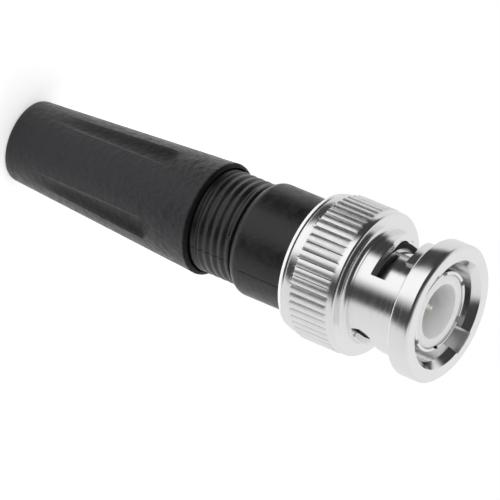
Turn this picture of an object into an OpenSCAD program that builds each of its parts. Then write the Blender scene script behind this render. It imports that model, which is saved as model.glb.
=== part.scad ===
// BNC plug with a screw-on strain relief boot.
// The axis is +Z: the boot's cable end stands at z = 0 and the mating end points up.
// Angles about +Z are counted from -Y, the side that a viewer in front looks at.

/* [Boot] */
// Length of the strain relief boot
boot_l = 22.8; // [18:0.1:30]
// Outer diameter at the cable end
boot_tail_d = 8.15; // [7.6:0.05:8.6]
// Outer diameter where the lip's flare starts
boot_waist_d = 10.85; // [10.7:0.05:12]
// Length of the flare that ends in the lip
flare_l = 3.1; // [2.8:0.1:5]
// Outer diameter of the lip
lip_d = 11.25; // [11.1:0.05:13]
// Rounding of the lip's outer edge
lip_edge_r = 0.45; // [0.1:0.05:0.5]
// Rounding of the cable end's outer edge
tail_edge_r = 0.4; // [0.1:0.05:0.6]
// Diameter of the cable hole
cable_hole_d = 6.3; // [5:0.1:6.4]
// Length of the cable hole
cable_hole_l = 5; // [3:0.5:6]
// Diameter of the hollow that covers the clamp
hollow_d = 8; // [7.8:0.1:8.4]
// Length of the cone between the cable hole and the hollow
hollow_cone_l = 2.5; // [1.5:0.5:3]
// Number of grip flutes
flute_n = 4; // [2:1:6]
// Radius of the cutter that leaves a flute
flute_r = 3.2; // [2:0.1:4]
// Depth of a flute at its deep end
flute_depth = 0.42; // [0.1:0.02:0.5]
// Distance from the lip's face to the flutes
flute_gap = 5; // [4:0.5:8]
// Height of a flute's shallow end
flute_end_z = 2.5; // [1.5:0.5:6]
// Depth of a flute at its shallow end
flute_end_depth = 0.06; // [0.04:0.02:0.2]

/* [Threaded collar] */
// Outer diameter of the thread
thread_d = 10.2; // [9.6:0.05:10.2]
// Pitch of the thread
thread_pitch = 0.85; // [0.75:0.05:1.5]
// Depth of the rounded thread
thread_depth = 0.22; // [0.1:0.02:0.4]
// Length of thread that is open to view
thread_show_l = 4.7; // [2:0.1:6]
// Length of thread inside the boot
thread_in_l = 2; // [1.5:0.1:2.5]
// Depth that is left for screwing the boot further on
thread_spare_l = 0.6; // [0.2:0.1:0.6]
// Outer diameter of the collar
collar_d = 11.3; // [11:0.05:12]
// Length of collar between the thread and the coupling nut
collar_l = 6.9; // [5:0.1:10]
// Rounding of the collar's shoulder
collar_edge_r = 1; // [0.2:0.1:1.2]
// Length of collar inside the coupling nut
collar_nose_l = 0.8; // [0.6:0.1:1.5]

/* [Coupling nut] */
// Length of the coupling nut
nut_l = 14.75; // [13.5:0.05:18]
// Outer diameter of the bands beside the knurl
band_d = 14; // [13:0.1:15]
// Rounding of the bands' outer edges
band_edge_r = 0.4; // [0.1:0.05:0.6]
// Length of the band behind the knurl
rear_band_l = 1.6; // [0.8:0.1:3]
// Outer diameter of the knurl
knurl_d = 14.5; // [14:0.1:16]
// Length of the knurl
knurl_l = 4.1; // [3:0.1:6]
// Number of knurl grooves
knurl_n = 52; // [30:1:60]
// Part of the knurl's pitch that a groove takes
knurl_groove_part = 0.34; // [0.2:0.02:0.5]
// Length of the band in front of the knurl
front_band_l = 0.85; // [0.6:0.05:1.5]
// Radius of the fillet between the grip and the sleeve
grip_fillet_r = 0.55; // [0.4:0.05:1.2]
// Outer diameter of the sleeve with the bayonet slots
sleeve_d = 11.2; // [10.8:0.1:12]
// Bore of the sleeve, which takes the jack's barrel
sleeve_bore_d = 9.85; // [9.8:0.05:10.2]
// Outer diameter of the ring at the mouth
ring_d = 13.7; // [12.5:0.05:15]
// Length of the ring at the mouth
ring_l = 2.2; // [1.2:0.1:3]
// Rounding of the ring's rear edge
ring_edge_r = 0.25; // [0.1:0.05:0.5]
// Width of the chamfer on the ring's front edge
ring_chamfer = 0.3; // [0.1:0.05:0.5]
// Width of the chamfer inside the mouth
mouth_chamfer = 0.5; // [0.2:0.05:0.6]
// Depth of the chamfer inside the mouth
mouth_chamfer_l = 0.8; // [0.2:0.05:1.2]
// Length of the nut's inner flange, which slides on the body's neck
nut_flange_l = 3.55; // [2:0.05:4]

/* [Bayonet slots] */
// Width of a slot
slot_w = 2.35; // [2:0.05:2.6]
// Amount by which a slot's round seat is wider than the slot
seat_growth = 0.15; // [0.1:0.05:0.4]
// Direction of the first slot's mouth
slot_angle = -20; // [-180:5:180]
// Turn from a slot's mouth to its seat
slot_turn = 94; // [80:1:100]
// Part of that turn before the ramp starts
slot_dwell = 0.3; // [0:0.05:0.5]
// Distance from the mouth to a slot's middle at its start
slot_start_depth = 5; // [4:0.05:5.1]
// Distance that the ramp pulls the nut on
slot_pull = 1.35; // [0.8:0.05:1.6]
// Diameter to which the grooves in the mouth's ring are cut
groove_d = 11.3; // [11.2:0.05:12]

/* [Metal body] */
// Diameter of the neck that the nut turns on
neck_d = 7.6; // [7.3:0.1:7.7]
// Outer diameter of the flange in front of the springs
flange_d = 9.6; // [9.2:0.05:9.7]
// Length of the flange
flange_l = 1.4; // [1.2:0.1:2]
// Wall of the flange round the outer contact's root
flange_wall = 0.55; // [0.4:0.05:0.8]
// Floor under the outer contact's root
seat_floor = 0.3; // [0.2:0.05:0.5]
// Diameter of the shank inside the collar
shank_d = 7; // [6.8:0.1:7.2]
// Diameter of the stub that carries the cable clamp
stub_d = 6.4; // [6.2:0.1:6.6]
// Length of the stub
stub_l = 2; // [1.5:0.1:3]
// Bore behind the insulators
rear_bore_d = 5.4; // [5.2:0.1:5.8]
// Bore that holds the insulators
insulator_bore_d = 5; // [4.6:0.1:5.2]
// Height of the spring washer as fitted
spring_h = 0.8; // [0.7:0.05:1.4]
// Thickness of the spring washer
spring_t = 0.2; // [0.15:0.05:0.3]
// Waves round the spring washer
spring_waves = 3; // [3:1:4]
// Outer diameter of both washers
washer_d = 9.5; // [9:0.05:9.6]
// Thickness of the flat washer
washer_t = 0.35; // [0.25:0.05:0.6]
// Thickness of the sealing ring
gasket_t = 1.2; // [0.8:0.1:1.5]

/* [Contacts and insulators] */
// Outer diameter of the outer contact's fingers
contact_d = 8.1; // [8:0.05:8.3]
// Wall of the outer contact
contact_wall = 0.37; // [0.3:0.01:0.5]
// Distance from the nut's mouth face to the fingers' ends
contact_setback = 0.85; // [0.5:0.05:1.5]
// Slits between the fingers
finger_slits = 6; // [4:1:8]
// Width of a slit
slit_w = 0.6; // [0.3:0.05:0.8]
// Length of a slit
slit_l = 5.9; // [3:0.1:6.2]
// Distance from the nut's mouth face to the front insulator
insulator_setback = 1; // [0.5:0.05:2]
// Socket in the front insulator
socket_d = 5.4; // [4.9:0.1:5.4]
// Depth of that socket
socket_l = 6.2; // [5:0.1:7]
// Length of the front insulator's shank in the body
front_shank_l = 3; // [2:0.1:4]
// Distance from the nut's mouth face to the centre pin's tip
pin_setback = 1.9; // [1.5:0.05:4]
// Diameter of the centre pin
pin_d = 1.35; // [1.3:0.01:1.4]
// Length of the pin's pointed end
pin_tip_l = 1.3; // [0.5:0.1:1.5]
// Diameter of the pin's blunt point
pin_point_d = 0.3; // [0.1:0.05:0.6]
// Diameter of the pin inside the insulators
pin_root_d = 1.7; // [1.7:0.05:2]
// Diameter of the collar that locks the pin
pin_collar_d = 2.6; // [2:0.1:3]
// Length of the collar that locks the pin
pin_collar_l = 1.2; // [0.8:0.1:2]
// Outer diameter of the solder cup
cup_d = 2; // [1.8:0.1:2.2]
// Bore of the solder cup
cup_bore_d = 1.2; // [0.8:0.1:1.3]
// Depth of the solder cup
cup_bore_l = 3; // [2:0.1:4]
// Length of the solder cup behind the rear insulator
cup_free_l = 4; // [3.5:0.1:5]
// Distance from the solder cup's end to its open side
cup_lip_l = 1; // [0.5:0.1:1.5]
// Length of the solder cup's open side
cup_open_l = 1.4; // [1:0.1:2]
// Length of the rear insulator
rear_insulator_l = 4; // [3:0.1:5]

/* [Cable clamp] */
// Sheet thickness of the clamp
clamp_t = 0.4; // [0.3:0.05:0.5]
// Width of the ring on the metal body
clamp_ring_l = 1.6; // [1.2:0.1:1.8]
// Width of the tongue
tongue_w = 3; // [2:0.1:4]
// Length of the tongue from the ring to the claw
tongue_l = 5.5; // [3:0.1:6]
// Width of the claw that grips the cable
claw_l = 3.5; // [2:0.1:4]
// Opening of the claw
claw_gap_angle = 80; // [40:5:120]

/* [Fits] */
// Gap round what turns or slides
run_gap = 0.05; // [0.03:0.01:0.1]
// Gap between faces that stop a movement
stop_gap = 0.05; // [0.02:0.01:0.1]

/* [Hidden] */

$fn = 96;
eps = 0.01;
overcut = 1;

plastic = "#2b2d30";
nickel = "#d9dadc";
white = "#f2f2ef";
rubber_black = "#2a2a2b";
pale_gold = "#cfc09a";

// Heights from the boot's cable end up to the mating face
lip_z = boot_l;
shoulder_z = lip_z + thread_show_l;
thread_end_z = lip_z - thread_in_l;
thread_bore_z = thread_end_z - thread_spare_l;
nut_z = shoulder_z + collar_l;
collar_end_z = nut_z + collar_nose_l;
nut_flange_z = collar_end_z + stop_gap;
nut_flange_end_z = nut_flange_z + nut_flange_l;
washer_z = nut_flange_end_z + stop_gap;
spring_z = washer_z + washer_t;
flange_z = spring_z + spring_h;
flange_end_z = flange_z + flange_l;
gasket_end_z = flange_end_z + gasket_t;
face_z = nut_z + nut_l;
contact_end_z = face_z - contact_setback;
insulator_end_z = face_z - insulator_setback;
socket_z = insulator_end_z - socket_l;
pin_end_z = face_z - pin_setback;

// The coupling nut's outline
knurl_z = nut_z + rear_band_l;
knurl_end_z = knurl_z + knurl_l;
grip_end_z = knurl_end_z + front_band_l;
ring_z = face_z - ring_l;
knurl_groove_depth = (knurl_d - band_d) / 2;
sleeve_r = sleeve_d / 2;
sleeve_bore_r = sleeve_bore_d / 2;

// The outer contact's root is seated in a counterbore of the body's flange
seat_z = flange_z + seat_floor;
contact_root_d = flange_d - 2 * flange_wall;
insulator_d = contact_d - 2 * contact_wall;
shank_end_z = collar_end_z;
stub_z = thread_end_z - stub_l;
pin_collar_z = seat_z - front_shank_l - pin_collar_l;
rear_insulator_z = pin_collar_z - rear_insulator_l;

clamp_d = stub_d + 2 * clamp_t;
clamp_ring_z = thread_end_z - stop_gap - clamp_ring_l;
claw_z = clamp_ring_z - tongue_l - claw_l;

// A point at polar coordinates (r, a), with a counted from -Y
function around(r, a) = [r * sin(a), -r * cos(a)];

// Points of a quarter round from direction a0 to a1, as part of a profile
function arc(cx, cy, r, a0, a1, n = 8) =
    [for (i = [0:n]) let (a = a0 + (a1 - a0) * i / n) [cx + r * cos(a), cy + r * sin(a)]];

module revolve(points) {
    rotate_extrude() polygon(points);
}

module tube(r_out, r_in, z0, z1) {
    translate([0, 0, z0]) difference() {
        cylinder(r = r_out, h = z1 - z0);
        translate([0, 0, -overcut]) cylinder(r = r_in, h = z1 - z0 + 2 * overcut);
    }
}

module bore(r, z0, z1) {
    translate([0, 0, z0]) cylinder(r = r, h = z1 - z0);
}

// Strain relief boot: one moulding with a tapered outside and four fading flutes

function boot_r(z) = let (t = z / (boot_l - flare_l)) (boot_tail_d + (boot_waist_d - boot_tail_d) * t) / 2;

module boot_outline() {
    tail_r = boot_tail_d / 2;
    lip_r = lip_d / 2;
    revolve(concat(
        [[0, 0]],
        arc(tail_r - tail_edge_r, tail_edge_r, tail_edge_r, -90, 0),
        [[boot_waist_d / 2, boot_l - flare_l]],
        arc(lip_r - lip_edge_r, boot_l - lip_edge_r, lip_edge_r, 0, 90),
        [[0, boot_l]]
    ));
}

// A rod with round ends, sunk deep into the boot at the front and hardly at all at the back
module flute_cutter() {
    front_z = boot_l - flute_gap - flute_r / 2;
    front = boot_r(front_z) + flute_r - flute_depth;
    rear = boot_r(flute_end_z) + flute_r - flute_end_depth;
    lean = atan((front - rear) / (front_z - flute_end_z));
    rod_l = (front_z - flute_end_z) / cos(lean);
    translate([front, 0, front_z]) rotate([0, lean, 0]) revolve(concat(
        arc(0, -rod_l, flute_r, -90, 0, 12),
        arc(0, 0, flute_r, 0, 90, 12)
    ));
}

module boot() {
    hollow_z = cable_hole_l + hollow_cone_l;
    color(plastic) difference() {
        boot_outline();
        for (i = [0:flute_n - 1]) rotate(45 + i * 360 / flute_n) flute_cutter();
        bore(cable_hole_d / 2, -overcut, cable_hole_l + eps);
        translate([0, 0, cable_hole_l])
            cylinder(d1 = cable_hole_d, d2 = hollow_d, h = hollow_cone_l + eps);
        bore(hollow_d / 2, hollow_z, thread_bore_z + eps);
        bore(thread_d / 2 + run_gap, thread_bore_z, boot_l + overcut);
    }
}

// Threaded collar: the boot's thread and the collar, moulded as one

// Rounded ridges of the thread from its free end to the groove at the shoulder
function thread_profile(steps = 6) = let (
    l = shoulder_z - thread_end_z,
    n = round(l / thread_pitch) * steps,
    crest = thread_d / 2 - thread_depth / 2
) [for (i = [0:n]) [crest + thread_depth / 2 * cos(360 * i / steps + 180), thread_end_z + i * l / n]];

module threaded_collar() {
    r = collar_d / 2;
    color(plastic) difference() {
        revolve(concat(
            [[0, thread_end_z]],
            thread_profile(),
            arc(r - collar_edge_r, shoulder_z + collar_edge_r, collar_edge_r, -80, 0),
            [[r, collar_end_z], [0, collar_end_z]]
        ));
        bore(shank_d / 2, thread_end_z - overcut, collar_end_z + overcut);
    }
}

// Metal body: stub, shank, neck and flange, bored through

module connector_body() {
    color(nickel) difference() {
        union() {
            bore(stub_d / 2, stub_z, thread_end_z + eps);
            bore(shank_d / 2, thread_end_z, shank_end_z);
            bore(neck_d / 2, shank_end_z, flange_z + eps);
            bore(flange_d / 2, flange_z, flange_end_z);
        }
        bore(rear_bore_d / 2, stub_z - overcut, rear_insulator_z);
        bore(insulator_bore_d / 2, rear_insulator_z - eps, seat_z + eps);
        bore(contact_root_d / 2, seat_z, flange_end_z + overcut);
    }
}

// Cable clamp: a ring on the stub, a tongue and a claw, bent from one sheet

module cable_clamp() {
    wall_r = stub_d / 2;
    color(nickel) union() {
        tube(clamp_d / 2, wall_r, clamp_ring_z, clamp_ring_z + clamp_ring_l);
        intersection() {
            tube(clamp_d / 2, wall_r, claw_z, clamp_ring_z + eps);
            translate([-tongue_w / 2, 0, claw_z]) cube([tongue_w, clamp_d, clamp_ring_z - claw_z + eps]);
        }
        translate([0, 0, claw_z]) rotate(claw_gap_angle / 2 - 90)
            rotate_extrude(angle = 360 - claw_gap_angle)
                translate([wall_r, 0]) square([clamp_t, claw_l]);
    }
}

// Coupling nut: knurled grip, sleeve with two bayonet slots, grooved ring at the mouth

module nut_outline() {
    band_r = band_d / 2;
    ring_r = ring_d / 2;
    revolve(concat(
        [[0, nut_z]],
        arc(band_r - band_edge_r, nut_z + band_edge_r, band_edge_r, -90, 0),
        arc(band_r - band_edge_r, grip_end_z - band_edge_r, band_edge_r, 0, 90),
        arc(sleeve_r + grip_fillet_r, grip_end_z + grip_fillet_r, grip_fillet_r, -90, -180),
        [[sleeve_r, ring_z]],
        arc(ring_r - ring_edge_r, ring_z + ring_edge_r, ring_edge_r, -90, 0, 4),
        [[ring_r, face_z - ring_chamfer], [ring_r - ring_chamfer, face_z], [0, face_z]]
    ));
}

// One V-groove of the knurl, as a notch in the grip's section
module knurl_notch() {
    half = 180 / knurl_n * knurl_groove_part;
    tip_r = band_d / 2 + 2 * eps;
    edge_r = knurl_d / 2 + eps;
    polygon([around(tip_r, 0), around(edge_r, half), around(edge_r + overcut, 0), around(edge_r, -half)]);
}

module knurl() {
    bevel = knurl_groove_depth;
    intersection() {
        translate([0, 0, knurl_z]) linear_extrude(knurl_l) difference() {
            circle(d = knurl_d);
            for (i = [0:knurl_n - 1]) rotate((i + 0.5) * 360 / knurl_n) knurl_notch();
        }
        revolve([
            [0, knurl_z], [band_d / 2, knurl_z], [knurl_d / 2, knurl_z + bevel],
            [knurl_d / 2, knurl_end_z - bevel], [band_d / 2, knurl_end_z], [0, knurl_end_z]
        ]);
    }
}

// Height of a slot's middle line after part s of its turn: level at first, then a straight ramp
function slot_mid_z(s) =
    face_z - slot_start_depth - slot_pull * max(0, s - slot_dwell) / (1 - slot_dwell);

// The space of one slot from its mouth to its seat, as rings of four corners joined by faces
module slot_ramp(r_in, r_out, steps = 24) {
    corners = [for (i = [0:steps]) let (
        s = i / steps,
        z = slot_mid_z(s),
        inner = around(r_in, -slot_turn * s),
        outer = around(r_out, -slot_turn * s)
    ) each [
        [inner.x, inner.y, z - slot_w / 2], [outer.x, outer.y, z - slot_w / 2],
        [outer.x, outer.y, z + slot_w / 2], [inner.x, inner.y, z + slot_w / 2]
    ]];
    last = 4 * steps;
    sides = [for (i = [0:steps - 1], k = [0:3]) let (a = 4 * i + k, b = 4 * i + (k + 1) % 4)
        each [[a, b + 4, b], [a, a + 4, b + 4]]];
    ends = [[0, 1, 2], [0, 2, 3], [last, last + 2, last + 1], [last, last + 3, last + 2]];
    polyhedron(corners, concat(ends, sides));
}

module bayonet_slot() {
    r_in = sleeve_bore_r - overcut;
    r_out = sleeve_r + overcut;
    slot_ramp(r_in, r_out);
    // Round seat at the ramp's end
    rotate(-slot_turn) translate([0, -r_in, slot_mid_z(1)]) rotate([90, 0, 0])
        cylinder(d = slot_w + seat_growth, h = r_out - r_in);
    // Straight way in from the mouth, which stays inside the ring
    start_z = slot_mid_z(0) - slot_w / 2;
    intersection() {
        translate([-slot_w / 2, -r_out, start_z]) cube([slot_w, r_out - r_in, face_z - start_z + overcut]);
        bore(groove_d / 2, start_z - overcut, face_z + 2 * overcut);
    }
}

// The chamfer inside the mouth, carried a little past the face
module mouth_funnel() {
    h = mouth_chamfer_l + eps;
    translate([0, 0, face_z - mouth_chamfer_l])
        cylinder(r1 = sleeve_bore_r, r2 = sleeve_bore_r + mouth_chamfer / mouth_chamfer_l * h, h = h);
}

module coupling_nut() {
    color(nickel) difference() {
        union() {
            nut_outline();
            knurl();
        }
        bore(collar_d / 2 + 2 * run_gap, nut_z - overcut, nut_flange_z);
        bore(neck_d / 2 + run_gap, nut_z - overcut, nut_flange_end_z + eps);
        bore(sleeve_bore_r, nut_flange_end_z, face_z + overcut);
        mouth_funnel();
        for (i = [0, 1]) rotate(slot_angle + 180 * i) bayonet_slot();
    }
}

// Springs and seal on the metal body

washer_r = washer_d / 2;
washer_hole_r = neck_d / 2 + run_gap;

// Wavy ring whose section rises and falls round its circle
module spring_washer(steps = 72) {
    r_in = washer_hole_r;
    r_out = washer_r;
    swing = (spring_h - 2 * stop_gap - spring_t) / 2;
    mid_z = spring_z + spring_h / 2;
    points = [for (i = [0:steps - 1]) let (
        a = 360 * i / steps,
        z = mid_z + swing * cos(spring_waves * a)
    ) each [
        [r_in * cos(a), r_in * sin(a), z - spring_t / 2],
        [r_out * cos(a), r_out * sin(a), z - spring_t / 2],
        [r_out * cos(a), r_out * sin(a), z + spring_t / 2],
        [r_in * cos(a), r_in * sin(a), z + spring_t / 2]
    ]];
    faces = [for (i = [0:steps - 1], k = [0:3]) let (
        a = 4 * i + k, b = 4 * i + (k + 1) % 4,
        c = (b + 4) % (4 * steps), d = (a + 4) % (4 * steps)
    ) each [[a, b, c], [a, c, d]]];
    color(nickel) polyhedron(points, faces);
}

module flat_washer() {
    color(nickel) tube(washer_r, washer_hole_r, washer_z, washer_z + washer_t);
}

module gasket() {
    color(rubber_black) tube(flange_d / 2, contact_root_d / 2, flange_end_z, gasket_end_z);
}

// Outer contact: a thin sleeve slit into spring fingers

module outer_contact() {
    r = contact_d / 2;
    r_in = r - contact_wall;
    lead = contact_wall / 2;
    color(nickel) difference() {
        revolve([
            [r_in, seat_z], [contact_root_d / 2, seat_z], [contact_root_d / 2, gasket_end_z],
            [r, gasket_end_z], [r, contact_end_z - lead], [r - lead, contact_end_z], [r_in, contact_end_z]
        ]);
        for (i = [0:finger_slits - 1]) rotate(i * 360 / finger_slits)
            translate([-slit_w / 2, 0, contact_end_z - slit_l]) cube([slit_w, contact_d, slit_l + overcut]);
    }
}

// Insulators and centre pin

module front_insulator() {
    color(white) difference() {
        union() {
            bore(insulator_d / 2, seat_z, insulator_end_z);
            bore(insulator_bore_d / 2, seat_z - front_shank_l, seat_z + eps);
        }
        bore(socket_d / 2, socket_z, insulator_end_z + overcut);
        bore(pin_root_d / 2, seat_z - front_shank_l - overcut, socket_z + eps);
    }
}

module rear_insulator() {
    color(white) difference() {
        bore(insulator_bore_d / 2, rear_insulator_z, seat_z - front_shank_l);
        bore(pin_collar_d / 2, pin_collar_z, seat_z);
        bore(cup_d / 2, rear_insulator_z - overcut, pin_collar_z + eps);
    }
}

module center_pin() {
    cup_z = rear_insulator_z - cup_free_l;
    color(pale_gold) difference() {
        union() {
            bore(cup_d / 2, cup_z, pin_collar_z + eps);
            bore(pin_collar_d / 2, pin_collar_z, pin_collar_z + pin_collar_l);
            bore(pin_root_d / 2, pin_collar_z, socket_z);
            bore(pin_d / 2, socket_z - eps, pin_end_z - pin_tip_l);
            translate([0, 0, pin_end_z - pin_tip_l]) cylinder(d1 = pin_d, d2 = pin_point_d, h = pin_tip_l);
        }
        bore(cup_bore_d / 2, cup_z - overcut, cup_z + cup_bore_l);
        // Open side of the solder cup
        translate([-cup_bore_d / 2, -cup_d, cup_z + cup_lip_l]) cube([cup_bore_d, cup_d, cup_open_l]);
    }
}

boot();
threaded_collar();
connector_body();
cable_clamp();
coupling_nut();
spring_washer();
flat_washer();
gasket();
outer_contact();
front_insulator();
rear_insulator();
center_pin();
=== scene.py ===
import math

import bmesh
import bpy
from mathutils import Matrix, Vector


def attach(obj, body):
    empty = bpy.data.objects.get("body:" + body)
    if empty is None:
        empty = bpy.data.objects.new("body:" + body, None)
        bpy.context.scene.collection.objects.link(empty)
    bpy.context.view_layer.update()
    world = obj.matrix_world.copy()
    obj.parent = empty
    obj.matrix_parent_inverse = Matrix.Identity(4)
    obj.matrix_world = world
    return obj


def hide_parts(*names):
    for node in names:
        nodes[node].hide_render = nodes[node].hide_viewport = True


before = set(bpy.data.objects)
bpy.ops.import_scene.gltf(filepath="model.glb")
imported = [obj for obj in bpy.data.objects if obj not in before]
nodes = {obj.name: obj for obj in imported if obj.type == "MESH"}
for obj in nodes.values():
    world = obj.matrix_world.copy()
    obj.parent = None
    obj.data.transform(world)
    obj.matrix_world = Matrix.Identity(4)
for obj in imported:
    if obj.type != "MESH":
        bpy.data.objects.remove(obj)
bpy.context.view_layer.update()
mm = 0.001
tiny = 1e-6   # angles nearer than this are the same
print("frame loaded:", len(nodes), "solids")


# sizes below are in mm, and angles are counted about +Z from -Y, the side the camera is on

def around(r, angle, z):
    turn = math.radians(angle)
    return (r * math.sin(turn) * mm, -r * math.cos(turn) * mm, z * mm)


def arc(r, z, radius, start, end, steps):
    # profile points on part of a circle, from one direction to another
    turns = [math.radians(start + (end - start) * i / steps) for i in range(steps + 1)]
    return [(r + radius * math.cos(t), z + radius * math.sin(t)) for t in turns]


def rise(z0, z1, step):
    # evenly spaced heights, both ends included
    count = max(1, round(abs(z1 - z0) / step))
    return [z0 + (z1 - z0) * i / count for i in range(count + 1)]


def evenTurn(steps):
    return [360 * i / steps for i in range(steps)]


def hump(x, width):
    return math.exp(-(x / width) ** 2)


def soften(x):
    x = min(1, max(0, x))
    return x * x * (3 - 2 * x)


def wrap(angle):
    return (angle + 180) % 360 - 180


def turned(profile, angles, place=None):
    # turns a closed profile about the axis, and place(r, z, angle, row) may move each point
    points, faces = [], []
    count = len(profile)
    for angle in angles:
        for row, (r, z) in enumerate(profile):
            points.append(place(r, z, angle, row) if place else around(r, angle, z))
    for i in range(len(angles)):
        a, b = i * count, (i + 1) % len(angles) * count
        for k in range(count):
            n = (k + 1) % count
            faces.append((a + k, b + k, b + n, a + n))
    return points, faces


def makePiece(name, points, faces, finish, body, stoodFor, sharp=33):
    mesh = bpy.data.meshes.new(name)
    mesh.from_pydata(points, [], faces)
    work = bmesh.new()
    work.from_mesh(mesh)
    bmesh.ops.remove_doubles(work, verts=work.verts, dist=1e-6)
    bmesh.ops.dissolve_degenerate(work, edges=work.edges, dist=1e-7)
    bmesh.ops.recalc_face_normals(work, faces=work.faces)
    work.to_mesh(mesh)
    work.free()
    mesh.shade_smooth()
    mesh.set_sharp_from_angle(angle=math.radians(sharp))
    mesh.materials.append(finish)
    piece = bpy.data.objects.new(name, mesh)
    bpy.context.collection.objects.link(piece)
    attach(piece, body)
    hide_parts(stoodFor)
    print("piece", name, len(mesh.polygons), "faces")
    return piece


# finishes: every one is a shader over noise that is set in the object's own space

fullShine = 0.5      # the shader's own level for plastic
latheDrift = 0.015   # how far the turning lines stray from true circles
metalClouds = 450
fineShare = 0.5      # of a metal's relief, for its finest lines
noiseLow, noiseHigh = 0.3, 0.7   # nearly all of the noise lies between these


def newFinish(name):
    finish = bpy.data.materials.new(name)
    finish.use_nodes = True
    tree = finish.node_tree
    return finish, tree, tree.nodes["Principled BSDF"]


def addMath(tree, operation, first, second):
    # either input is a socket or a number
    node = tree.nodes.new("ShaderNodeMath")
    node.operation = operation
    for socket, given in zip(node.inputs, (first, second)):
        if isinstance(given, (int, float)):
            socket.default_value = given
        elif given is not None:
            tree.links.new(given, socket)
    return node.outputs[0]


def addNoise(tree, place, scale, detail):
    noise = tree.nodes.new("ShaderNodeTexNoise")
    noise.inputs["Scale"].default_value = scale
    noise.inputs["Detail"].default_value = detail
    tree.links.new(place, noise.inputs["Vector"])
    return noise.outputs["Fac"]


def addPlace(tree):
    return tree.nodes.new("ShaderNodeTexCoord").outputs["Object"]


def addLathePlace(tree):
    # radius and height only, with a slight drift, so that noise becomes turning lines on walls and faces
    parts = tree.nodes.new("ShaderNodeSeparateXYZ")
    joined = tree.nodes.new("ShaderNodeCombineXYZ")
    tree.links.new(addPlace(tree), parts.inputs[0])
    across = addMath(tree, "MULTIPLY", parts.outputs["X"], parts.outputs["X"])
    deep = addMath(tree, "MULTIPLY", parts.outputs["Y"], parts.outputs["Y"])
    radius = addMath(tree, "SQRT", addMath(tree, "ADD", across, deep), None)
    tree.links.new(radius, joined.inputs["X"])
    tree.links.new(addMath(tree, "MULTIPLY", parts.outputs["X"], latheDrift), joined.inputs["Y"])
    tree.links.new(parts.outputs["Z"], joined.inputs["Z"])
    return joined.outputs[0]


def addRange(tree, fac, low, high):
    spread = tree.nodes.new("ShaderNodeMapRange")
    spread.inputs["From Min"].default_value = noiseLow
    spread.inputs["From Max"].default_value = noiseHigh
    spread.inputs["To Min"].default_value = low
    spread.inputs["To Max"].default_value = high
    tree.links.new(fac, spread.inputs["Value"])
    return spread.outputs["Result"]


def addColours(tree, fac, first, second):
    mix = tree.nodes.new("ShaderNodeMix")
    mix.data_type = "RGBA"
    mix.inputs["A"].default_value = (*first, 1)
    mix.inputs["B"].default_value = (*second, 1)
    tree.links.new(fac, mix.inputs["Factor"])
    return mix.outputs["Result"]


def addShare(tree, name):
    # a number that the mesh keeps at each of its points
    node = tree.nodes.new("ShaderNodeAttribute")
    node.attribute_name = name
    return node.outputs["Fac"]


def keepShare(piece, name, rule):
    share = piece.data.attributes.new(name, "FLOAT", "POINT")
    for vertex in piece.data.vertices:
        share.data[vertex.index].value = rule(vertex.co / mm)


def addBump(tree, height, distance, strength, under=None):
    bump = tree.nodes.new("ShaderNodeBump")
    bump.inputs["Distance"].default_value = distance
    bump.inputs["Strength"].default_value = strength
    tree.links.new(height, bump.inputs["Height"])
    if under:
        tree.links.new(under, bump.inputs["Normal"])
    return bump.outputs["Normal"]


def plasticFinish(name, dark, light, rough, grain):
    # moulded plastic: soft clouds in its colour and gloss over a fine spark-eroded grain
    finish, tree, shader = newFinish(name)
    place = addPlace(tree)
    cloud = addNoise(tree, place, grain["clouds"], 4)
    fine = addNoise(tree, place, grain["fine"], 3)
    tree.links.new(addColours(tree, cloud, dark, light), shader.inputs["Base Color"])
    tree.links.new(addRange(tree, cloud, *rough), shader.inputs["Roughness"])
    if "tint" in grain:
        shader.inputs["Specular Tint"].default_value = (*grain["tint"], 1)
    # a share kept on the mesh, where given, lowers the specular level there: painted shade
    if "matt" in grain:
        shine = addMath(tree, "SUBTRACT", 1, addShare(tree, grain["matt"]))
        tree.links.new(addMath(tree, "MULTIPLY", shine, fullShine), shader.inputs["Specular IOR Level"])
    soft = addBump(tree, cloud, grain["wave"], 1)
    tree.links.new(addBump(tree, fine, grain["depth"], grain["strength"], soft), shader.inputs["Normal"])
    return finish


def metalFinish(name, dark, light, rough, lines):
    # plated metal over the fine turning lines of a lathe
    finish, tree, shader = newFinish(name)
    shader.inputs["Metallic"].default_value = 1
    turning = addLathePlace(tree)
    cloud = addNoise(tree, addPlace(tree), metalClouds, 5)
    wide = addNoise(tree, turning, lines["wide"], 2)
    fine = addNoise(tree, turning, lines["fine"], 3)
    tree.links.new(addColours(tree, cloud, dark, light), shader.inputs["Base Color"])
    gloss = addRange(tree, wide, *rough)
    if "rolled" in lines:
        rougher = addMath(tree, "MULTIPLY", addShare(tree, "rolled"), lines["rolled"])
        gloss = addMath(tree, "ADD", gloss, rougher)
    tree.links.new(gloss, shader.inputs["Roughness"])
    first = addBump(tree, wide, lines["depth"], lines["strength"])
    second = addBump(tree, fine, lines["depth"], lines["strength"] * fineShare, first)
    tree.links.new(addBump(tree, cloud, lines["depth"], lines["strength"], second), shader.inputs["Normal"])
    return finish


# the boot's finish darkens where the mesh's share says so: painted shade in the flutes and at the lip
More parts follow.
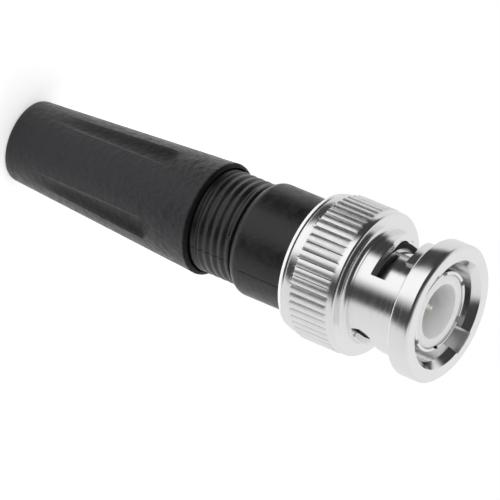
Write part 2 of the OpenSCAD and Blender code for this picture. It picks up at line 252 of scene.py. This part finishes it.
bootFinish = plasticFinish(
    "bootPlastic", (0.0062, 0.0062, 0.0068), (0.0092, 0.0092, 0.0102), (0.32, 0.5),
    {"clouds": 1700, "fine": 9000, "depth": 0.00003, "strength": 0.3, "wave": 0.00009,
     "tint": (0.95, 0.95, 1), "matt": "paintedShade"})
collarFinish = plasticFinish(
    "collarPlastic", (0.0055, 0.0055, 0.006), (0.009, 0.009, 0.0098), (0.28, 0.42),
    {"clouds": 1300, "fine": 9000, "depth": 0.00003, "strength": 0.25, "wave": 0.00004,
     "tint": (0.96, 0.96, 1)})
rubberFinish = plasticFinish(
    "blackRubber", (0.012, 0.012, 0.012), (0.018, 0.018, 0.018), (0.6, 0.7),
    {"clouds": 900, "fine": 6000, "depth": 0.00003, "strength": 0.3, "wave": 0.00002})
whiteFinish = plasticFinish(
    "waxyWhite", (0.93, 0.93, 0.935), (0.96, 0.96, 0.96), (0.32, 0.45),
    {"clouds": 600, "fine": 3000, "depth": 0.00002, "strength": 0.15, "wave": 0.00001})
whiteShader = whiteFinish.node_tree.nodes["Principled BSDF"]
whiteShader.inputs["Subsurface Weight"].default_value = 0.2
whiteShader.inputs["Subsurface Radius"].default_value = (0.0006, 0.0006, 0.0006)
whiteShader.inputs["Subsurface Scale"].default_value = 1

nickelFinish = metalFinish(
    "brightNickel", (0.83, 0.825, 0.825), (0.88, 0.875, 0.875), (0.12, 0.24),
    {"wide": 5000, "fine": 21000, "depth": 0.00002, "strength": 0.2, "rolled": 0.17})
tinFinish = metalFinish(
    "tinnedBrass", (0.66, 0.65, 0.63), (0.76, 0.75, 0.73), (0.22, 0.32),
    {"wide": 5000, "fine": 20000, "depth": 0.00002, "strength": 0.15})
springFinish = metalFinish(
    "springSteel", (0.55, 0.55, 0.55), (0.65, 0.65, 0.65), (0.2, 0.3),
    {"wide": 5000, "fine": 20000, "depth": 0.00002, "strength": 0.15})
pinFinish = metalFinish(
    "palePlate", (0.88, 0.84, 0.76), (0.94, 0.91, 0.85), (0.12, 0.2),
    {"wide": 9000, "fine": 26000, "depth": 0.00002, "strength": 0.1})
print("finishes made")


# strain relief boot: a tapered moulding with four flutes that fade out towards the cable

boot = {
    "length": 22.8, "tailRadius": 4.075, "waistRadius": 5.425, "flareLength": 3.1, "lipRadius": 5.625,
    "lipEdge": 0.36, "tailEdge": 0.4, "holeRadius": 3.15, "holeLength": 5, "coneLength": 2.5,
    "hollowRadius": 4, "threadRadius": 5.15, "threadHeight": 20.2, "mouthRadius": 5.24, "mouthDepth": 0.9,
    "fluteCount": 4, "fluteAngle": 45, "fluteRadius": 3.2,
    "fluteTop": 17, "fluteBottom": 2.5, "fluteEnd": 1.6,
    "fluteDeep": 0.42, "fluteShallow": 0.1, "fluteSoftness": 0.012, "fadeLength": 5,
    "edgeRise": 0.022, "edgeWidth": 0.03, "nominalHalf": 15, "leastHalf": 1.5, "mostHalf": 20,
    # the flute and lip keys below set painted shade, a lowered specular level, on the flutes' floors and
    # the lip's end
    "halvings": 18, "fluteShade": 0.6, "shadeDepth": 0.3, "shadeStart": 0.15,
    "lipHeight": 0.43, "lipShade": 0.78, "lipFade": 0.12,
    "tailGap": 0.1, "flareCurve": 1.3, "mouthEdge": (0.02, 0.08), "holeEdge": 0.15,
    "rowStep": 0.12, "flareStep": 0.15, "columns": 360,
}


def bootRadius(z):
    share = z / (boot["length"] - boot["flareLength"])
    return boot["tailRadius"] + (boot["waistRadius"] - boot["tailRadius"]) * share


def fluteDepth(r, z, angle):
    # how far a flute reaches below the surface there, negative outside it
    b = boot
    low, high, radius = b["fluteBottom"], b["fluteTop"], b["fluteRadius"]
    share = (z - low) / (high - low)
    centre = (bootRadius(low) + radius - b["fluteShallow"]) * (1 - share)
    centre += (bootRadius(high) + radius - b["fluteDeep"]) * share
    past = max(low - z, (z - high) * b["fluteEnd"], 0)
    if past >= radius:
        return -1
    radius = math.sqrt(radius ** 2 - past ** 2)
    pitch = 360 / b["fluteCount"]
    off = math.radians((angle - b["fluteAngle"] + pitch / 2) % pitch - pitch / 2)
    reach = radius ** 2 - (centre * math.sin(off)) ** 2
    if reach <= 0:
        return -1
    return r - (centre * math.cos(off) - math.sqrt(reach))


def fluteHalf(z):
    # half the angle that a flute takes up at that height
    low, high = 0, boot["mostHalf"]
    for halving in range(boot["halvings"]):
        middle = (low + high) / 2
        inside = fluteDepth(bootRadius(z), z, boot["fluteAngle"] + middle) > 0
        low, high = (middle, high) if inside else (low, middle)
    return max(low, boot["leastHalf"])


def alongFlute(angle, half):
    # moves a column sideways so that one always runs along a flute's edge
    pitch, nominal = 360 / boot["fluteCount"], boot["nominalHalf"]
    off = (angle - boot["fluteAngle"] + pitch / 2) % pitch - pitch / 2
    if abs(off) <= nominal:
        moved = off * half / nominal
    else:
        share = (abs(off) - nominal) / (pitch / 2 - nominal)
        moved = math.copysign(half + (pitch / 2 - half) * share, off)
    return angle - off + moved


def bootPaintedShade(point):
    # painted shade: the specular level drops on the flutes' floors and on the lip's end, so that they look
    # dark
    b = boot
    z = point.z
    depth = fluteDepth(bootRadius(z), z, math.degrees(math.atan2(point.x, -point.y)))
    fade = soften((z - b["fluteBottom"]) / b["fadeLength"])
    floor = b["fluteShade"] * fade * soften(depth / b["shadeDepth"] + b["shadeStart"] if depth > 0 else 0)
    return max(floor, b["lipShade"] * soften((z - b["length"] + b["lipHeight"]) / b["lipFade"]))


def makeBoot():
    b = boot
    length, flare = b["length"], b["length"] - b["flareLength"]
    tail, lip = b["tailRadius"], b["lipRadius"]
    outside = arc(tail - b["tailEdge"], b["tailEdge"], b["tailEdge"], -90, 0, 7)
    outside += [(bootRadius(z), z) for z in rise(b["tailEdge"] + b["tailGap"], flare, b["rowStep"])]
    for z in rise(flare, length - b["lipEdge"], b["flareStep"])[1:]:
        share = (z - flare) / (length - b["lipEdge"] - flare)
        outside.append((b["waistRadius"] + (lip - b["waistRadius"]) * share ** b["flareCurve"], z))
    outside += arc(lip - b["lipEdge"], length - b["lipEdge"], b["lipEdge"], 0, 90, 8)[1:]
    inward, down = b["mouthEdge"]
    inside = [
        (b["mouthRadius"] + inward, length), (b["mouthRadius"], length - down),
        (b["mouthRadius"], length - b["mouthDepth"]), (b["threadRadius"], length - b["mouthDepth"]),
        (b["threadRadius"], b["threadHeight"]), (b["hollowRadius"], b["threadHeight"]),
        (b["hollowRadius"], b["holeLength"] + b["coneLength"]),
        (b["holeRadius"], b["holeLength"]), (b["holeRadius"], b["holeEdge"]),
        (b["holeRadius"] + b["holeEdge"], 0),
    ]
    profile = outside + inside
    halves = [fluteHalf(z) for r, z in profile]
    soft = b["fluteSoftness"]

    def place(r, z, angle, row):
        if row >= len(outside):
            return around(r, angle, z)
        moved = alongFlute(angle, halves[row])
        depth = fluteDepth(r, z, moved)
        fade = soften((z - b["fluteBottom"]) / b["fadeLength"])
        cut = soft * math.log1p(math.exp(min(depth / soft, 40)))
        cut -= b["edgeRise"] * hump(depth + b["edgeWidth"] / 2, b["edgeWidth"])
        return around(r - cut * fade, moved, z)

    points, faces = turned(profile, evenTurn(b["columns"]), place)
    piece = makePiece("strain_relief_boot", points, faces, bootFinish, "boot", "boot")
    # painted shade on the flutes' floors and the lip's end, read by the boot's finish
    keepShare(piece, "paintedShade", bootPaintedShade)


makeBoot()


# threaded collar: rounded thread, a narrow groove at the shoulder, mould lines

collar = {
    "threadEnd": 20.8, "shoulder": 27.5, "end": 35.2, "threadRadius": 5.1, "threadDepth": 0.115,
    "pitch": 0.85, "grooveHeight": 26.8, "grooveAngle": 27, "grooveSharpness": 1.2,
    "shoulderGroove": 27.45, "shoulderDepth": 0.22, "shoulderWidth": 0.06,
    "runoutRise": 0.32, "runoutAngle": 15, "runoutEnd": -75,
    "radius": 5.65, "shoulderEdge": 1, "edgeStart": -70, "bore": 3.5,
    "seamAngle": 41.5, "seamDepth": 0.09, "seamWidth": 0.55, "seamStart": 28.8,
    "seamInThread": 0.45, "seamFade": 0.8, "startFade": 0.4, "endReach": 0.4, "endFade": 0.15,
    "runoutDepth": 0.11, "runoutWidth": 0.11, "runoutFade": (2, 40),
    "tickLow": (26.85, 17), "tickHigh": (27.6, 13.2), "tickHeight": 0.09, "tickWidth": 0.7,
    "tickProud": 0.05, "tickEnds": 0.1, "rowPast": 0.05, "rowStep": 0.045, "bodyStep": 0.4, "columns": 180,
    "seamColumns": (-1.5, -1, -0.7, -0.45, -0.2, 0, 0.2, 0.45, 0.7, 1, 1.5),
    "tickColumns": {"start": 11, "step": 0.35, "count": 24},
}


def threadCut(z, angle):
    # depth of the thread, its run-out and the shoulder's groove at that place
    c = collar
    turn = wrap(angle)
    groove = c["grooveHeight"] + c["pitch"] * (turn - c["grooveAngle"]) / 360
    wave = 0.5 + 0.5 * math.cos(2 * math.pi * (z - groove) / c["pitch"])
    last = max(0, (groove + c["endReach"] - z) / c["endFade"])
    ends = min(1, (z - c["threadEnd"]) / c["startFade"], last)
    cut = c["threadDepth"] * wave ** c["grooveSharpness"] * max(0, ends)
    quick, slow = c["runoutFade"]
    share = soften((c["runoutAngle"] - turn) / quick) * soften((turn - c["runoutEnd"]) / slow)
    cut += c["runoutDepth"] * share * hump(z - groove - c["runoutRise"], c["runoutWidth"])
    return max(cut, c["shoulderDepth"] * hump(z - c["shoulderGroove"], c["shoulderWidth"]))


def tickRise(z, angle):
    # the short slanting flash where the thread begins
    (lowZ, lowAngle), (highZ, highAngle) = collar["tickLow"], collar["tickHigh"]
    share = (z - lowZ) / (highZ - lowZ)
    if not -collar["tickEnds"] < share < 1 + collar["tickEnds"]:
        return 0
    centre = lowAngle + (highAngle - lowAngle) * share
    return collar["tickHeight"] * hump(wrap(angle - centre), collar["tickWidth"])


def makeCollar():
    c = collar
    threadRows = rise(c["threadEnd"], c["shoulder"] + c["rowPast"], c["rowStep"])
    outside = [(c["threadRadius"], z) for z in threadRows]
    edge = c["shoulderEdge"]
    body = arc(c["radius"] - edge, c["shoulder"] + edge, edge, c["edgeStart"], 0, 12)
    body += [(c["radius"], z) for z in rise(c["shoulder"] + edge, c["end"], c["bodyStep"])[1:]]
    inside = [(c["bore"], c["end"]), (c["bore"], c["threadEnd"])]
    last = len(threadRows)
    angles = set(evenTurn(c["columns"]))
    for side in (0, 180):
        angles.update((c["seamAngle"] + side + step) % 360 for step in c["seamColumns"])
    ticks = c["tickColumns"]
    angles.update(ticks["start"] + ticks["step"] * i for i in range(ticks["count"]))

    def place(r, z, angle, row):
        seam = min(abs(wrap(angle - c["seamAngle"])), abs(wrap(angle - c["seamAngle"] - 180)))
        line = c["seamDepth"] * hump(seam, c["seamWidth"])
        if row < last:
            r += min(tickRise(z, angle) - threadCut(z, angle), c["tickProud"]) - c["seamInThread"] * line
        elif row < last + len(body):
            r -= line * soften((z - c["seamStart"]) / c["seamFade"])
        return around(r, angle, z)

    points, faces = turned(outside + body + inside, sorted(angles), place)
    makePiece("threaded_collar_skin", points, faces, collarFinish, "plug", "threaded_collar", 40)


makeCollar()


# coupling nut: knurled grip, sleeve with two bayonet slots, and a grooved ring at the mouth

nut = {
    "rear": 34.4, "face": 49.15, "bandRadius": 7, "frontEdge": 0.3,
    "rearRim": [(0.5, 0), (0.3, 0.01), (0.2, 0.06), (0.12, 0.34), (0.11, 0.4), (0.27, 0.63), (0.03, 0.67),
                (0.01, 0.8), (0, 1), (0, 1.2), (0.03, 1.42)],
    "knurlStart": 36, "knurlEnd": 40.1, "knurlRadius": 7.249, "knurlBevel": 0.05, "frontRadius": 7.17,
    "grooves": 52, "groovePart": 0.11, "grooveBelow": 0.04, "runout": 0.16,
    "ridgeDrop": 0.085, "ridgeEnd": 0.16, "ridgeColumns": (0.4, 0.7), "ridgeBlend": 0.15,
    "gripEnd": 40.95, "fillet": 0.55, "sleeveRadius": 5.6, "boreRadius": 4.925,
    "ringStart": 46.95, "ringRadius": 6.85, "ringEdge": 0.22, "ringChamfer": 0.27,
    "mouthWidth": 0.5, "mouthDepth": 0.8,
    "noseRadius": 5.75, "noseDepth": 35.25, "neckRadius": 3.85, "flangeTop": 38.8,
    "slotWidth": 2.35, "slotAngle": -20, "slotTurn": 94, "dwell": 0.3, "startDepth": 5, "pull": 1.35,
    "seatRadius": 1.25, "grooveRadius": 5.65, "slotEdge": 0.09, "entryRadius": 5.3,
    "seatColumns": (0, 15, 30, 45, 60, 75, 90, 110, 130, 150), "clearAngle": 0.4,
    "noseEdge": 0.1, "chamferEdge": (0.01, 0.03), "rowDrift": 0.3, "seatReach": 20,
}


def slotMiddle(share):
    n = nut
    return n["face"] - n["startDepth"] - n["pull"] * max(0, share - n["dwell"]) / (1 - n["dwell"])


def turnPast(angle, entry, seat):
    # the turn from the nearer slot's mouth, or None between the slots
    for side in (0, 180):
        turn = wrap(angle - nut["slotAngle"] - side)
        if -nut["slotTurn"] - seat - tiny <= turn <= entry + tiny:
            return turn
    return None


def nutAngles(entry, seat):
    n = nut
    pitch = 360 / n["grooves"]
    groove = pitch / 2 * n["groovePart"]
    kept, free, special = [], [], []
    for i in range(n["grooves"]):
        middle = (i + 0.5) * pitch
        kept += [middle + off for off in (0, -groove, groove)]
        for part in n["ridgeColumns"]:
            free += [middle - pitch / 2 * part, middle + pitch / 2 * part]
        free.append(middle + pitch / 2)
    for side in (0, 180):
        start = n["slotAngle"] + side
        special += [start - entry, start + entry, start - n["slotTurn"] * n["dwell"]]
        for step in n["seatColumns"]:
            special.append(start - n["slotTurn"] - seat * math.cos(math.radians(step)))
    clear = n["clearAngle"]
    return kept + [a for a in free if all(abs(wrap(a - s)) > clear for s in special)] + special


def nutColumns():
    # every angle at which the nut gets a row of points: angle, kind, slot's low edge, slot's high edge
    n = nut
    half = n["slotWidth"] / 2
    entry = math.degrees(math.asin(half / n["entryRadius"]))
    seat = math.degrees(math.asin(n["seatRadius"] / n["sleeveRadius"]))
    entryLow, seatZ = slotMiddle(0) - half, slotMiddle(1)
    wayIn = ("way in", entryLow, n["ringStart"])
    columns = []
    for angle in nutAngles(entry, seat):
        turn = turnPast(angle, entry, seat)
        if turn is None:
            # between the slots the rows drift from one slot's end to the next one's start
            past = min((angle - n["slotAngle"] - side - entry) % 360 for side in (0, 180))
            share = past / (180 - entry - n["slotTurn"] - seat)
            low = entryLow + (seatZ - n["rowDrift"] - entryLow) * share
            high = n["ringStart"] + (seatZ + n["rowDrift"] - n["ringStart"]) * share
            columns.append((angle % 360, "none", low, high))
            continue
        low = high = seatZ
        if turn >= -n["slotTurn"]:
            middle = slotMiddle(max(0, -turn / n["slotTurn"]))
            low, high = middle - half, middle + half
        across = n["sleeveRadius"] * math.sin(math.radians(turn + n["slotTurn"]))
        if abs(across) < n["seatRadius"] and abs(turn + n["slotTurn"]) < n["seatReach"]:
            reach = math.sqrt(n["seatRadius"] ** 2 - across ** 2)
            low, high = min(low, seatZ - reach), max(high, seatZ + reach)
        if abs(turn + entry) < tiny:
            found = [("ramp", low, high), wayIn]
        elif abs(turn - entry) < tiny:
            found = [wayIn, ("none", entryLow, n["ringStart"])]
        else:
            found = [wayIn if turn > -entry else ("ramp", low, high)]
        columns += [(angle % 360, *each) for each in found]
    return sorted(columns, key=lambda column: round(column[0], 6))


def knurlPart(angle):
    # the grip's profile along one column, over a round ridge or through a narrow groove
    n = nut
    pitch = 360 / n["grooves"]
    groove = pitch / 2 * n["groovePart"]
    off = abs(angle % pitch - pitch / 2)
    band, start, end, bevel = n["bandRadius"], n["knurlStart"], n["knurlEnd"], n["knurlBevel"]
    front, runout = n["frontRadius"], n["runout"]
    if off < groove - tiny:
        low = band - n["grooveBelow"]
        return [(low, start), (low, start + bevel), (low, end - bevel), (low, end), (front, end + runout)]
    crest = n["knurlRadius"] - n["ridgeDrop"] * ((pitch / 2 - off) / (pitch / 2 - groove)) ** 2
    ridge = [(band, start), (crest, start + bevel), (crest, end - n["ridgeEnd"])]
    return ridge + [(min(crest, front), end), (front, end + runout)]


def ridgeShare(point):
    # the rolled ridges of the knurl are rougher than what is turned
    if not nut["knurlStart"] < point.z < nut["knurlEnd"]:
        return 0
    return soften((math.hypot(point.x, point.y) - nut["bandRadius"]) / nut["ridgeBlend"])


def nutProfile(angle, kind, low, high):
    n = nut
    band, front = n["bandRadius"], n["frontEdge"]
    sleeve, bore, ring, face = n["sleeveRadius"], n["boreRadius"], n["ringRadius"], n["face"]
    small, groove, fillet = n["slotEdge"], n["grooveRadius"], n["fillet"]
    profile = [(n["noseRadius"], n["noseDepth"]), (n["noseRadius"], n["rear"] + n["noseEdge"])]
    profile += [(n["noseRadius"] + n["noseEdge"], n["rear"])]
    profile += [(band - inward, n["rear"] + up) for inward, up in n["rearRim"]]
    profile += knurlPart(angle)
    profile += arc(n["frontRadius"] - front, n["gripEnd"] - front, front, 0, 90, 6)
    profile += arc(sleeve + fillet, n["gripEnd"] + fillet, fillet, -90, -180, 10)
    outer = len(profile)
    mouthFloor = face - n["mouthDepth"]
    if kind == "way in":
        profile += [(sleeve, low - small), (sleeve - small, low)] + [(groove, high)] * 3
        mouth = [(groove, face), (groove, mouthFloor), (groove, n["ringStart"])]
        mouth += [(groove, high), (bore, low)]
    else:
        inset = 0 if kind == "none" else small
        top = min(high + small, n["ringStart"])
        profile += [(sleeve, low - small), (sleeve - inset, low), (sleeve - inset, high), (sleeve, top)]
        profile += [(sleeve, n["ringStart"])]
        mouth = [(bore + n["mouthWidth"], face), (bore, mouthFloor), (bore, n["ringStart"])]
        mouth += [(bore, high), (bore, low)]
    profile += arc(ring - n["ringEdge"], n["ringStart"] + n["ringEdge"], n["ringEdge"], -90, 0, 4)
    chamfer, (across, along) = n["ringChamfer"], n["chamferEdge"]
    profile += [(ring, face - chamfer - along), (ring - across, face - chamfer)]
    profile += [(ring - chamfer, face - across), (ring - chamfer - along, face)]
    inner = len(profile)
    profile += mouth
    profile += [(bore, n["flangeTop"]), (n["neckRadius"], n["flangeTop"])]
    profile += [(n["neckRadius"], n["noseDepth"])]
    return profile, outer, inner


def makeNut():
    columns = nutColumns()
    points, slotted = [], []
    for angle, kind, low, high in columns:
        profile, outer, inner = nutProfile(angle, kind, low, high)
        slotted.append(kind != "none")
        points += [around(r, angle, z) for r, z in profile]
    count = len(profile)
    outLow, outHigh, inHigh, inLow = outer + 1, outer + 2, inner + 3, inner + 4
    faces = []
    for c in range(len(columns)):
        d = (c + 1) % len(columns)
        a, b = c * count, d * count
        both = slotted[c] and slotted[d]
        ended = abs(wrap(columns[c][0] - columns[d][0])) < tiny and slotted[c] != slotted[d]
        for k in range(count):
            if (both or ended) and k in (outLow, inHigh):
                continue
            m = (k + 1) % count
            faces.append((a + k, b + k, b + m, a + m))
        if both:
            faces.append((a + outLow, a + inLow, b + inLow, b + outLow))
            faces.append((a + outHigh, b + outHigh, b + inHigh, a + inHigh))
        if ended:
            wall, cut = (b, a) if slotted[c] else (a, b)
            faces.append((wall + outLow, wall + outHigh, wall + inHigh, wall + inLow, cut + outLow))
    piece = makePiece("bayonet_nut", points, faces, nickelFinish, "nut", "coupling_nut", 30)
    keepShare(piece, "rolled", ridgeShare)


makeNut()


# outer contact: a solid root and six spring fingers

contact = {
    "radius": 4.05, "wall": 0.37, "start": 40.3, "rootRadius": 4.25, "rootEnd": 42.6, "end": 48.3,
    "fingers": 6, "slit": 0.6, "tipEdge": 0.15, "innerEdge": 0.08, "steps": 16, "rootColumns": 120,
}


def makeContact():
    c = contact
    inner, small = c["radius"] - c["wall"], c["innerEdge"]
    root = [(inner, c["start"]), (c["rootRadius"], c["start"]), (c["rootRadius"], c["rootEnd"])]
    points, faces = turned(root + [(inner, c["rootEnd"])], evenTurn(c["rootColumns"]))
    profile = [(c["radius"], c["rootEnd"])]
    profile += arc(c["radius"] - c["tipEdge"], c["end"] - c["tipEdge"], c["tipEdge"], 0, 90, 4)
    profile += arc(inner + small, c["end"] - small, small, 90, 180, 3) + [(inner, c["rootEnd"])]
    count, steps, pitch = len(profile), c["steps"], 360 / c["fingers"]
    for finger in range(c["fingers"]):
        base = len(points)
        for i in range(steps + 1):
            for r, z in profile:
                gap = math.degrees(math.asin(c["slit"] / 2 / r))
                start, end = finger * pitch + gap, (finger + 1) * pitch - gap
                points.append(around(r, start + (end - start) * i / steps, z))
        for i in range(steps):
            a, b = base + i * count, base + (i + 1) * count
            for k in range(count):
                m = (k + 1) % count
                faces.append((a + k, b + k, b + m, a + m))
        faces.append(tuple(base + k for k in range(count)))
        faces.append(tuple(base + steps * count + k for k in reversed(range(count))))
    makePiece("contact_fingers", points, faces, nickelFinish, "plug", "outer_contact", 30)


makeContact()


# front insulator: a white plug with a deep round socket

insulator = {
    "radius": 3.68, "seat": 40.3, "end": 48.15, "shankRadius": 2.5, "shankStart": 37.3,
    "socketRadius": 2.7, "socketFloor": 41.95, "floorEdge": 0.3, "pinHole": 0.85, "edge": 0.12,
    "columns": 144,
}


def makeInsulator():
    n = insulator
    edge, bottom = n["edge"], n["floorEdge"]
    profile = [(n["pinHole"], n["shankStart"]), (n["shankRadius"], n["shankStart"])]
    profile += [(n["shankRadius"], n["seat"]), (n["radius"], n["seat"])]
    profile += arc(n["radius"] - edge, n["end"] - edge, edge, 0, 90, 5)
    profile += arc(n["socketRadius"] + edge, n["end"] - edge, edge, 90, 180, 5)
    profile += arc(n["socketRadius"] - bottom, n["socketFloor"] + bottom, bottom, 0, -90, 5)
    profile += [(n["pinHole"], n["socketFloor"])]
    points, faces = turned(profile, evenTurn(n["columns"]))
    makePiece("socket_insulator", points, faces, whiteFinish, "plug", "front_insulator", 40)


makeInsulator()


# solids that stay as the frame gives them

carried = {
    "connector_body": nickelFinish, "cable_clamp": tinFinish, "spring_washer": springFinish,
    "flat_washer": springFinish, "gasket": rubberFinish, "rear_insulator": whiteFinish,
    "center_pin": pinFinish,
}
for nodeName, finish in carried.items():
    solid = nodes[nodeName]
    solid.data.materials.clear()
    solid.data.materials.append(finish)
print("carried solids finished")


# floor, room, lamps and camera

studio = {
    "floorRadius": 42, "floorHeight": -0.02, "floorColumns": 96, "floorColour": 0.8, "floorLift": 0.53,
    "floorRoughness": 0.9,
    "keyPower": 1.1, "keyPlace": (-0.30, -0.40, 0.22), "fillPower": 0.6, "fillPlace": (0.42, -0.25, 0.12),
    "topPower": 0.45, "topPlace": (0.05, 0.15, 0.5), "lampSize": 0.35,
    "lampTarget": (0, 0, 0.025),
    "elevation": 28.9, "roll": 112.76, "distance": 800, "lens": 609.2, "sensor": 36, "aim": (1.54, 0, 27.0),
    "horizon": (-0.05, 0.2), "ceilingEdge": (0.9, 0.99),
}

# light levels of the room's walls by direction, below the horizon and above it
lowWalls = [(-180, 0.85), (-108, 0.8), (-96, 0.05), (-60, 0.05), (-44, 1.1), (-6, 1.1), (21, 0.05),
            (38, 0.06), (54, 0.8), (110, 0.85), (180, 0.85)]
highWalls = [(-180, 0.88), (-120, 0.85), (-100, 0.05), (44, 0.05), (66, 0.8), (120, 0.85), (180, 0.88)]
ceilingLevel = 0.4


def makeFloor():
    radius, height = studio["floorRadius"], studio["floorHeight"]
    rim = [around(radius, a, height) for a in evenTurn(studio["floorColumns"])]
    mesh = bpy.data.meshes.new("floor")
    mesh.from_pydata(rim, [], [tuple(range(len(rim)))])
    floor = bpy.data.objects.new("floor", mesh)
    bpy.context.collection.objects.link(floor)
    finish, tree, shader = newFinish("paleFloor")
    level = studio["floorColour"]
    shader.inputs["Base Color"].default_value = (level, level, level, 1)
    shader.inputs["Roughness"].default_value = studio["floorRoughness"]
    shader.inputs["Specular IOR Level"].default_value = 0
    path = tree.nodes.new("ShaderNodeLightPath")
    seen = addMath(tree, "MAXIMUM", path.outputs["Is Camera Ray"], path.outputs["Is Glossy Ray"])
    glow = tree.nodes.new("ShaderNodeEmission")
    tree.links.new(addMath(tree, "MULTIPLY", seen, studio["floorLift"]), glow.inputs["Strength"])
    both = tree.nodes.new("ShaderNodeAddShader")
    tree.links.new(shader.outputs[0], both.inputs[0])
    tree.links.new(glow.outputs[0], both.inputs[1])
    tree.links.new(both.outputs[0], tree.nodes["Material Output"].inputs["Surface"])
    mesh.materials.append(finish)


def addWalls(tree, share, stops):
    walls = tree.nodes.new("ShaderNodeValToRGB")
    ramp = walls.color_ramp
    ramp.interpolation = "EASE"
    while len(ramp.elements) < len(stops):
        ramp.elements.new(0.5)
    for element, (angle, level) in zip(ramp.elements, stops):
        element.position = angle / 360 + 0.5
        element.color = (level, level, level, 1)
    tree.links.new(share, walls.inputs["Fac"])
    return walls.outputs["Color"]


def addBlend(tree, height, low, high, first, second):
    # from the first colour to the second between two heights of the view's direction
    share = tree.nodes.new("ShaderNodeMapRange")
    share.interpolation_type = "SMOOTHSTEP"
    share.inputs["From Min"].default_value = low
    share.inputs["From Max"].default_value = high
    tree.links.new(height, share.inputs["Value"])
    mix = tree.nodes.new("ShaderNodeMix")
    mix.data_type = "RGBA"
    tree.links.new(share.outputs["Result"], mix.inputs["Factor"])
    tree.links.new(first, mix.inputs["A"])
    if isinstance(second, float):
        mix.inputs["B"].default_value = (second, second, second, 1)
    else:
        tree.links.new(second, mix.inputs["B"])
    return mix.outputs["Result"]


def makeRoom():
    # a pale room with dark screens between its lit walls, as a product table has
    world = bpy.data.worlds.new("room")
    world.use_nodes = True
    bpy.context.scene.world = world
    tree = world.node_tree
    tree.nodes.clear()
    place = tree.nodes.new("ShaderNodeTexCoord")
    parts = tree.nodes.new("ShaderNodeSeparateXYZ")
    tree.links.new(place.outputs["Generated"], parts.inputs[0])
    back = addMath(tree, "MULTIPLY", parts.outputs["Y"], -1)
    turn = addMath(tree, "ARCTAN2", parts.outputs["X"], back)
    share = addMath(tree, "ADD", addMath(tree, "DIVIDE", turn, 2 * math.pi), 0.5)
    low = addWalls(tree, share, lowWalls)
    high = addWalls(tree, share, highWalls)
    walls = addBlend(tree, parts.outputs["Z"], *studio["horizon"], low, high)
    room = addBlend(tree, parts.outputs["Z"], *studio["ceilingEdge"], walls, ceilingLevel)
    path = tree.nodes.new("ShaderNodeLightPath")
    seen = tree.nodes.new("ShaderNodeMix")
    seen.data_type = "RGBA"
    seen.inputs["B"].default_value = (1, 1, 1, 1)
    tree.links.new(path.outputs["Is Camera Ray"], seen.inputs["Factor"])
    tree.links.new(room, seen.inputs["A"])
    sky = tree.nodes.new("ShaderNodeBackground")
    out = tree.nodes.new("ShaderNodeOutputWorld")
    tree.links.new(seen.outputs["Result"], sky.inputs["Color"])
    tree.links.new(sky.outputs[0], out.inputs["Surface"])


def addLamp(name, power, place):
    lamp = bpy.data.lights.new(name, "AREA")
    lamp.shape = "DISK"
    lamp.size = studio["lampSize"]
    lamp.energy = power
    holder = bpy.data.objects.new(name, lamp)
    holder.location = place
    holder.rotation_mode = "QUATERNION"
    holder.rotation_quaternion = (Vector(place) - Vector(studio["lampTarget"])).to_track_quat("Z", "Y")
    holder.visible_glossy = False
    bpy.context.collection.objects.link(holder)


def makeCamera():
    tilt, roll = math.radians(studio["elevation"]), math.radians(studio["roll"])
    back = Vector((0, -math.cos(tilt), math.sin(tilt)))
    right, up = Vector((1, 0, 0)), Vector((0, math.sin(tilt), math.cos(tilt)))
    rolledRight = math.cos(roll) * right + math.sin(roll) * up
    rolledUp = -math.sin(roll) * right + math.cos(roll) * up
    data = bpy.data.cameras.new("camera")
    data.sensor_width = studio["sensor"]
    data.lens = studio["lens"]
    camera = bpy.data.objects.new("camera", data)
    axes = Matrix((rolledRight, rolledUp, back)).transposed().to_4x4()
    axes.translation = Vector(studio["aim"]) * mm + back * studio["distance"] * mm
    camera.matrix_world = axes
    bpy.context.collection.objects.link(camera)
    bpy.context.scene.camera = camera


makeFloor()
makeRoom()
addLamp("keyLamp", studio["keyPower"], studio["keyPlace"])
addLamp("fillLamp", studio["fillPower"], studio["fillPlace"])
addLamp("topLamp", studio["topPower"], studio["topPlace"])
makeCamera()
bpy.context.scene.view_settings.view_transform = "Standard"
print("studio made")
